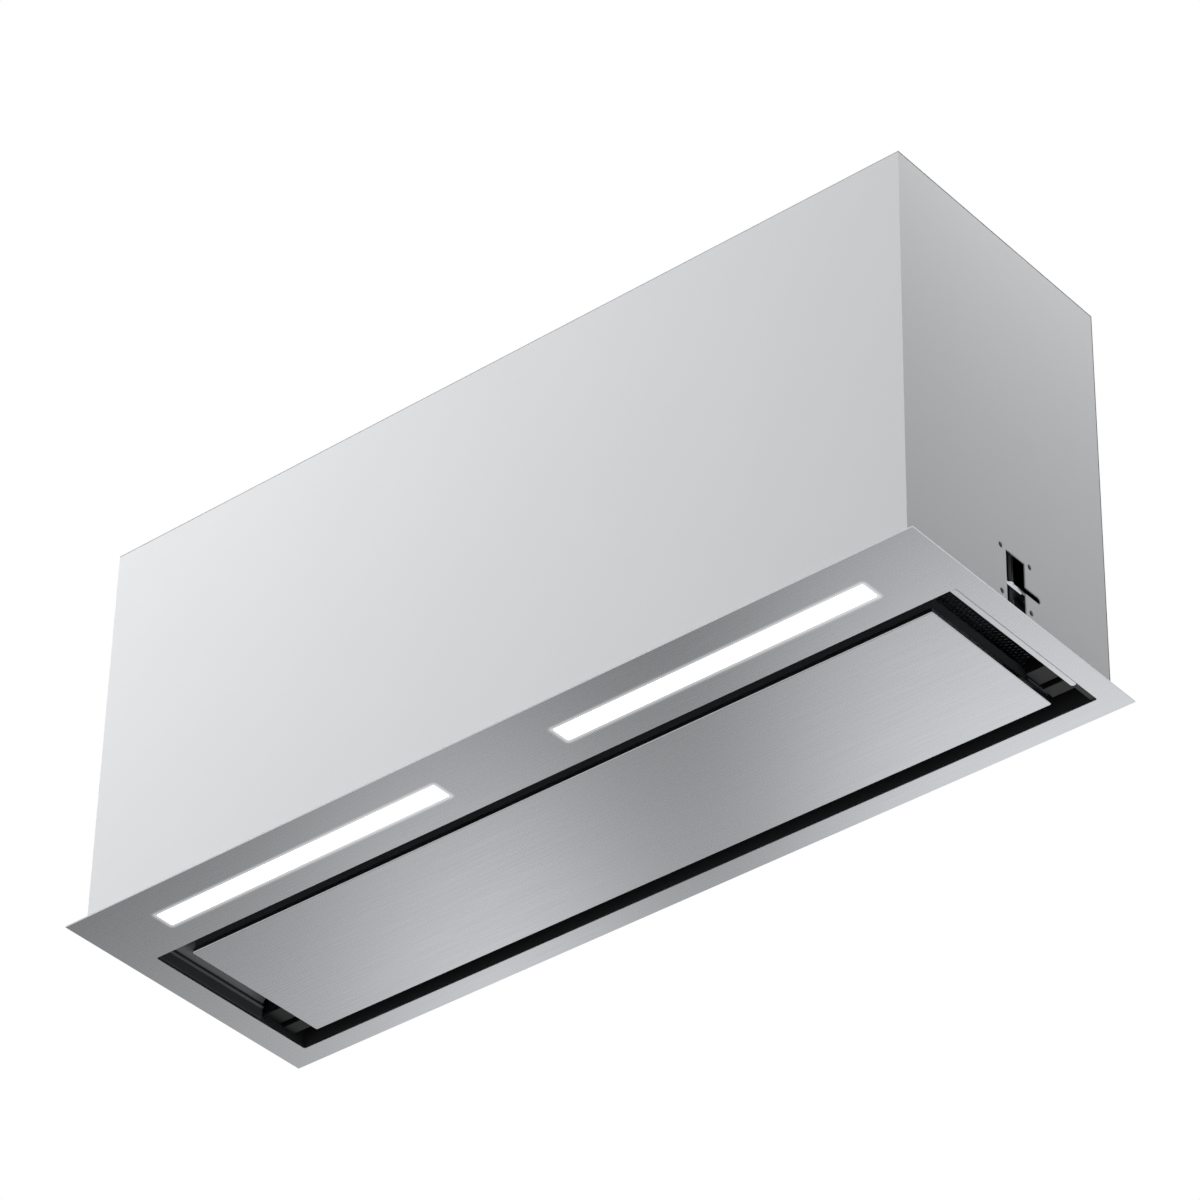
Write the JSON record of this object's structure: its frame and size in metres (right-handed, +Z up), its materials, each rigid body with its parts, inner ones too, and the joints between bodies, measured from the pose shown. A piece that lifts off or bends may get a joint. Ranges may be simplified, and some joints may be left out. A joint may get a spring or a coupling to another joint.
{
  "type": "built-in range hood",
  "caption": "Built-in extractor hood for a wall cabinet: steel casing on a thin flange with two light strips, a hinged perimeter-suction panel, grease filters, blower, damper and side clamps.",
  "frame": {"origin": "Middle of the underside of the flange, which is the lowest face", "axes": "+Z up towards the air outlet, +X along the hood to the right when facing the light strips, +Y to the back, so the light strips are at -Y"},
  "size_m": [0.86, 0.28, 0.4095],
  "materials": {
    "brushed_flange": "brushed stainless sheet, satin",
    "brushed_panel": "brushed stainless sheet, grain along the panel",
    "brushed_trim": "bright stainless strip",
    "casing_sheet": "satin pale grey coated steel sheet",
    "galvanised_sheet": "pale grey zinc coated sheet",
    "black_paint": "matt black powder coat",
    "dark_paint": "satin dark grey powder coat",
    "zinc_steel": "bright zinc plated steel",
    "dark_steel": "blackened steel",
    "filter_aluminium": "satin aluminium mesh and frame",
    "trough_aluminium": "extruded aluminium",
    "cast_motor": "plain die casting",
    "light_cover": "lit white opal plastic",
    "white_board": "white circuit board",
    "green_board": "green circuit board",
    "white_plastic": "moulded",
    "grey_plastic": "moulded, fine texture",
    "wheel_plastic": "moulded",
    "black_plastic": "moulded",
    "black_rubber": "soft rubber"
  },
  "bodies": {
    "hood": {"flange_frame": "brushed_flange", "casing_shell": "casing_sheet", "casing_back": "galvanised_sheet", "casing_top": "galvanised_sheet", "recess_frame": "black_paint", "filter_divider": "black_paint", "end_trim": "brushed_trim", "hinge_bracket_left": "dark_paint", "hinge_bracket_right": "dark_paint", "hinge_pins": "zinc_steel", "panel_magnets": "black_plastic", "filter_frame_left": "filter_aluminium", "filter_frame_right": "filter_aluminium", "filter_core_left": "filter_aluminium", "filter_core_right": "filter_aluminium", "led_lens_left": "light_cover", "led_lens_right": "light_cover", "led_housing_left": "trough_aluminium", "led_housing_right": "trough_aluminium", "led_board_left": "white_board", "led_board_right": "white_board", "scroll_left": "grey_plastic", "scroll_right": "grey_plastic", "motor": "cast_motor", "motor_bracket": "zinc_steel", "motor_grommets": "black_rubber", "motor_screws": "zinc_steel", "blower_strap": "galvanised_sheet", "outlet_adapter": "grey_plastic", "outlet_collar": "black_plastic", "damper_pin": "zinc_steel", "control_box": "galvanised_sheet", "control_box_lid": "galvanised_sheet", "control_board": "green_board", "motor_capacitor": "cast_motor", "terminal_block": "white_plastic", "cable_gland": "black_plastic", "led_driver": "white_plastic", "clamp_bracket_left": "dark_paint", "clamp_bracket_right": "dark_paint", "casing_screws": "zinc_steel"},
    "panel": {"suction_panel": "brushed_panel", "panel_backing": "dark_paint", "panel_hinge_arms": "dark_paint", "magnet_strikes": "zinc_steel"},
    "fan": {"fan_wheel": "wheel_plastic", "motor_shaft": "zinc_steel"},
    "flap_front": {"damper_flap_front": "grey_plastic"},
    "flap_back": {"damper_flap_back": "grey_plastic"},
    "latch_left": {"filter_latch_left": "black_plastic"},
    "latch_right": {"filter_latch_right": "black_plastic"},
    "nut_left": {"clamp_nut_left": "zinc_steel"},
    "nut_right": {"clamp_nut_right": "zinc_steel"},
    "arm_left": {"clamp_arm_left": "zinc_steel"},
    "arm_right": {"clamp_arm_right": "zinc_steel"},
    "screw_left": {"clamp_screw_left": "dark_steel"},
    "screw_right": {"clamp_screw_right": "dark_steel"}
  },
  "joints": [
    {"name": "panel_hinge", "type": "hinge", "parent": "hood", "child": "panel", "pos_m": [0, 0.096, 0.014], "axis": [1, 0, 0], "range_deg": [0, 88]},
    {"name": "fan_spin", "type": "hinge", "parent": "hood", "child": "fan", "pos_m": [0, -0.01276, 0.18999], "axis": [1, 0, 0], "continuous": true},
    {"name": "flap_front_hinge", "type": "hinge", "parent": "hood", "child": "flap_front", "pos_m": [0, 0.0364, 0.3905], "axis": [-1, 0, 0], "range_deg": [0, 75]},
    {"name": "flap_back_hinge", "type": "hinge", "parent": "hood", "child": "flap_back", "pos_m": [0, 0.0364, 0.3905], "axis": [1, 0, 0], "range_deg": [0, 75]},
    {"name": "latch_left_slide", "type": "slide", "parent": "hood", "child": "latch_left", "axis": [0, 1, 0], "range_m": [0, 0.006], "stiffness_N_per_m": 250, "springref_m": -0.004},
    {"name": "latch_right_slide", "type": "slide", "parent": "hood", "child": "latch_right", "axis": [0, 1, 0], "range_m": [0, 0.006], "stiffness_N_per_m": 250, "springref_m": -0.004},
    {"name": "clamp_left_travel", "type": "slide", "parent": "hood", "child": "nut_left", "axis": [0, 0, -1], "range_m": [0, 0.026]},
    {"name": "clamp_right_travel", "type": "slide", "parent": "hood", "child": "nut_right", "axis": [0, 0, -1], "range_m": [0, 0.026]},
    {"name": "clamp_left_swing", "type": "hinge", "parent": "nut_left", "child": "arm_left", "pos_m": [-0.4105, 0.007, 0.041], "axis": [0, 0, 1], "range_deg": [0, 90]},
    {"name": "clamp_right_swing", "type": "hinge", "parent": "nut_right", "child": "arm_right", "pos_m": [0.4105, 0.007, 0.041], "axis": [0, 0, -1], "range_deg": [0, 90]},
    {"name": "clamp_left_turn", "type": "hinge", "parent": "hood", "child": "screw_left", "pos_m": [-0.4105, 0.007, 0.041], "axis": [0, 0, 1], "range_deg": [0, 13380]},
    {"name": "clamp_right_turn", "type": "hinge", "parent": "hood", "child": "screw_right", "pos_m": [0.4105, 0.007, 0.041], "axis": [0, 0, 1], "range_deg": [0, 13380]}
  ],
  "couplings": [
    {"joint": "clamp_left_turn", "follows": "clamp_left_travel", "rad_per_m": 8976},
    {"joint": "clamp_right_turn", "follows": "clamp_right_travel", "rad_per_m": 8976}
  ]
}
